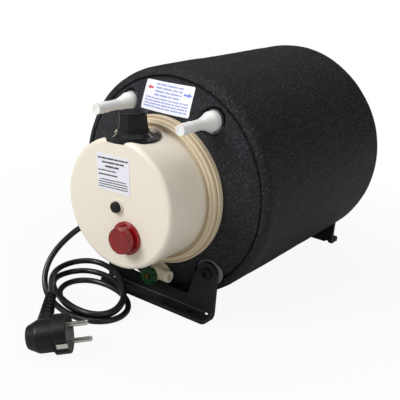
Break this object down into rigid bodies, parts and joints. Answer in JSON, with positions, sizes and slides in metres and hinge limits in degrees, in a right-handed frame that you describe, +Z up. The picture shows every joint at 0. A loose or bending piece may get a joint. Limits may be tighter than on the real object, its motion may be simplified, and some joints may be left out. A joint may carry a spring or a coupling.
{
  "type": "caravan water heater",
  "caption": "Small insulated electric water heater for a caravan: foam-wrapped tank on two bent feet, round cream cover with knob and pilot lamp, hose stems, drain tap and mains cord with plug.",
  "frame": {"origin": "on the floor, under the middle of the heater's width and depth, the cord left out", "axes": "+Z up, -Y towards the moulded cover, the tank's axis along Y, +X to the right as seen from the cover's side"},
  "size_m": [0.24, 0.4585, 0.2467],
  "materials": {
    "tank_steel": "satin",
    "jacket_foam": "matte",
    "pad_foam": "matte",
    "seal_rubber": "matte",
    "bead_ceramic": "satin",
    "contact_brass": "satin",
    "sensor_copper": "satin",
    "inner_plastic": "matte",
    "screw_steel": "satin",
    "spindle_steel": "satin",
    "knob_black": "satin",
    "button_black": "satin",
    "cover_cream": "satin",
    "base_cream": "satin",
    "lamp_red": "translucent gloss",
    "bezel_red": "translucent gloss",
    "bulb_glass": "clear",
    "milky_plastic": "satin",
    "valve_cream": "satin",
    "spindle_brass": "satin",
    "wheel_green": "satin",
    "foot_black": "satin",
    "spacer_white": "satin",
    "bolt_black": "satin",
    "gland_black": "satin",
    "cord_black": "satin",
    "plug_black": "satin",
    "pin_nickel": "polished"
  },
  "bodies": {
    "heater": {"tank_shell": "tank_steel", "cold_inlet_pipe": "tank_steel", "hot_outlet_pipe": "tank_steel", "element_flange": "tank_steel", "flange_studs": "tank_steel", "flange_washers": "tank_steel", "flange_nuts": "tank_steel", "thermostat_pocket": "tank_steel", "heating_element": "tank_steel", "insulation_jacket": "jacket_foam", "front_insulation_pad": "pad_foam", "rear_insulation_pad": "pad_foam", "flange_gasket": "seal_rubber", "hose_seals": "seal_rubber", "drain_seal": "seal_rubber", "element_beads": "bead_ceramic", "element_terminals": "contact_brass", "terminal_screws": "contact_brass", "thermostat_sensor": "sensor_copper", "thermostat_body": "inner_plastic", "safety_cutout": "inner_plastic", "pilot_lamp_body": "inner_plastic", "pilot_lamp_nut": "inner_plastic", "terminal_block": "inner_plastic", "thermostat_screws": "screw_steel", "cover_cap": "cover_cream", "cover_base": "base_cream", "pilot_lamp_lens": "lamp_red", "pilot_lamp_bezel": "bezel_red", "neon_bulb": "bulb_glass", "cold_hose_connector": "milky_plastic", "hot_hose_connector": "milky_plastic", "drain_valve_body": "valve_cream", "drain_bonnet": "valve_cream", "front_foot": "foot_black", "rear_foot": "foot_black", "foot_spacers": "spacer_white", "foot_bolts": "bolt_black", "cable_gland": "gland_black", "gland_nut": "gland_black", "cord_tail": "cord_black", "power_cord": "cord_black", "cord_coil": "cord_black", "plug_housing": "plug_black", "plug_strain_relief": "plug_black", "plug_pins": "pin_nickel", "plug_earth_clips": "pin_nickel"},
    "knob": {"thermostat_knob": "knob_black", "thermostat_spindle": "spindle_steel"},
    "button": {"reset_button": "button_black"},
    "valve_plug": {"drain_plug": "valve_cream"},
    "handwheel": {"drain_handwheel": "wheel_green", "drain_spindle": "spindle_brass", "drain_wheel_screw": "contact_brass"}
  },
  "joints": [
    {"name": "knob_turn", "type": "hinge", "parent": "heater", "child": "knob", "pos_m": [-0.0043, -0.1456, 0.18565], "axis": [-0.0698, 0, 0.9976], "range_deg": [0, 270]},
    {"name": "button_press", "type": "slide", "parent": "heater", "child": "button", "axis": [0, 1, 0], "range_m": [0, 0.002], "stiffness_N_per_m": 400, "springref_m": -0.001},
    {"name": "handwheel_turn", "type": "hinge", "parent": "valve_plug", "child": "handwheel", "pos_m": [0, -0.1185, 0.032], "axis": [0, -1, 0], "range_deg": [0, 722]},
    {"name": "valve_plug_lift", "type": "slide", "parent": "heater", "child": "valve_plug", "axis": [0, -1, 0], "range_m": [0, 0.0025]}
  ],
  "couplings": [
    {"joint": "handwheel_turn", "follows": "valve_plug_lift", "rad_per_m": 5026.5}
  ]
}
